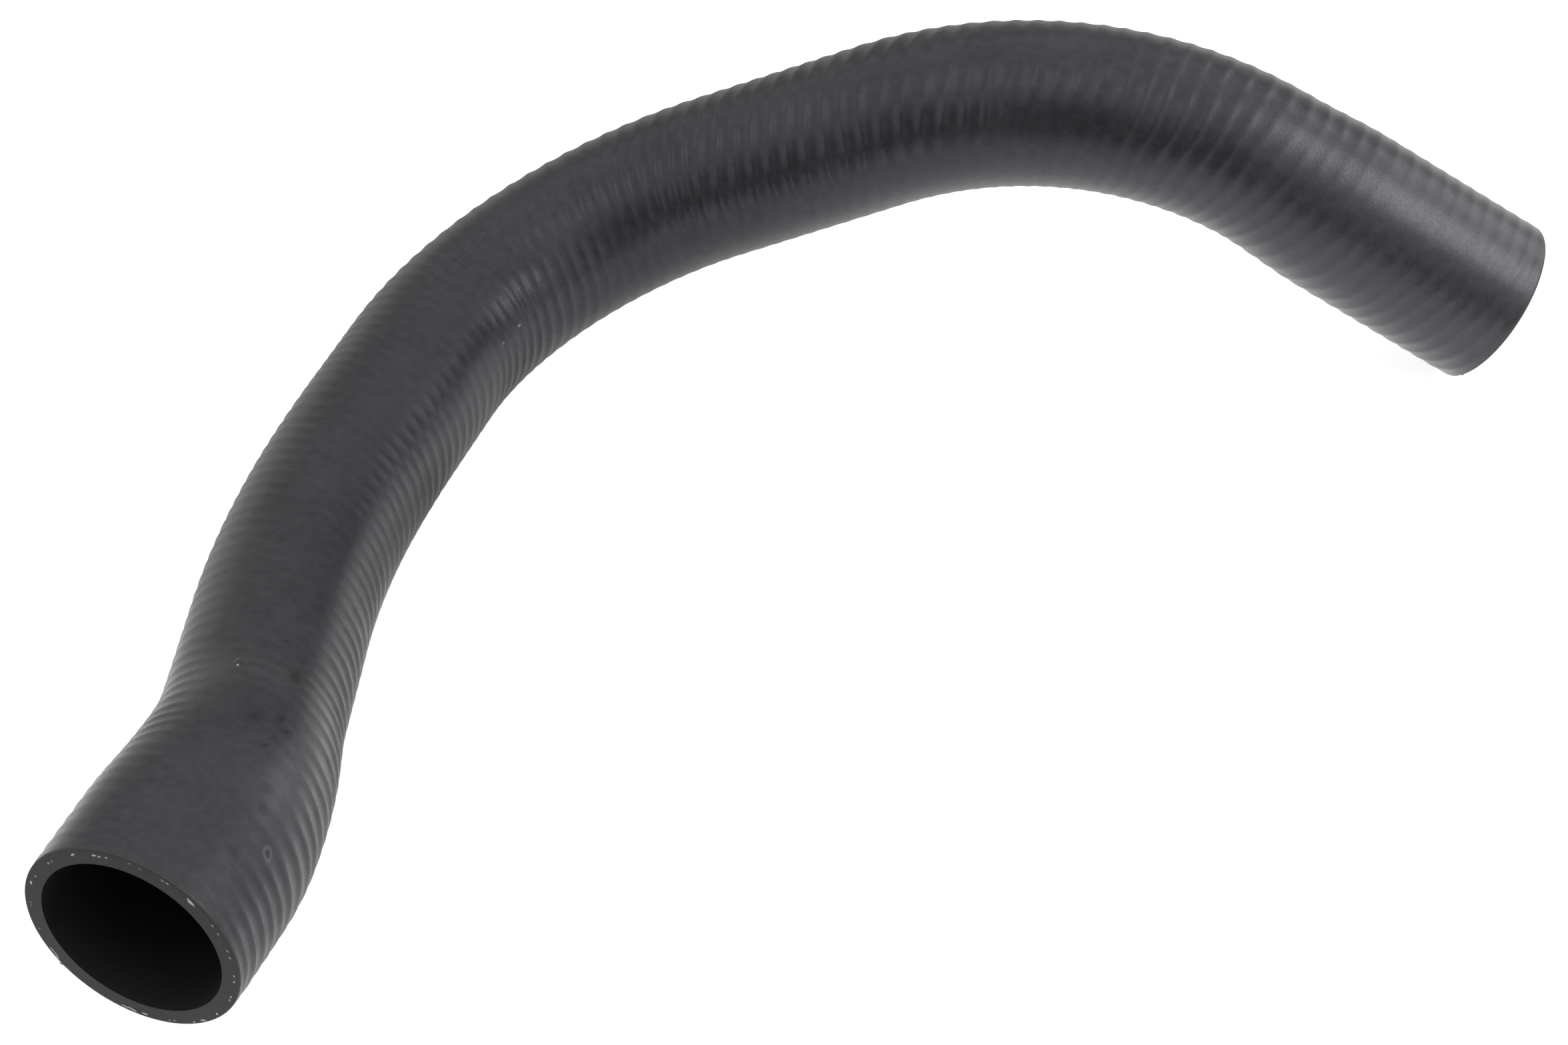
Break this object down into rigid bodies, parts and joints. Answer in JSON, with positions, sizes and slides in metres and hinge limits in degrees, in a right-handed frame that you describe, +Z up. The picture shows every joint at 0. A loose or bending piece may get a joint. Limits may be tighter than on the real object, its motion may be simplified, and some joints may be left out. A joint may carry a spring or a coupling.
{
  "type": "charge air hose",
  "caption": "Moulded rubber hose with a flared mouth, a plain small end and several bends, lying at rest.",
  "frame": {"origin": "middle of the underside of the hose's box, on the surface that it lies on", "axes": "+Z up, +X from the flared mouth's side to the small end's side, +Y from the mouth along the hose's first run"},
  "size_m": [0.4516, 0.3762, 0.1192],
  "materials": {
    "rubber": "matt"
  },
  "bodies": {
    "root": {"charge_air_hose": "rubber"}
  },
  "joints": []
}
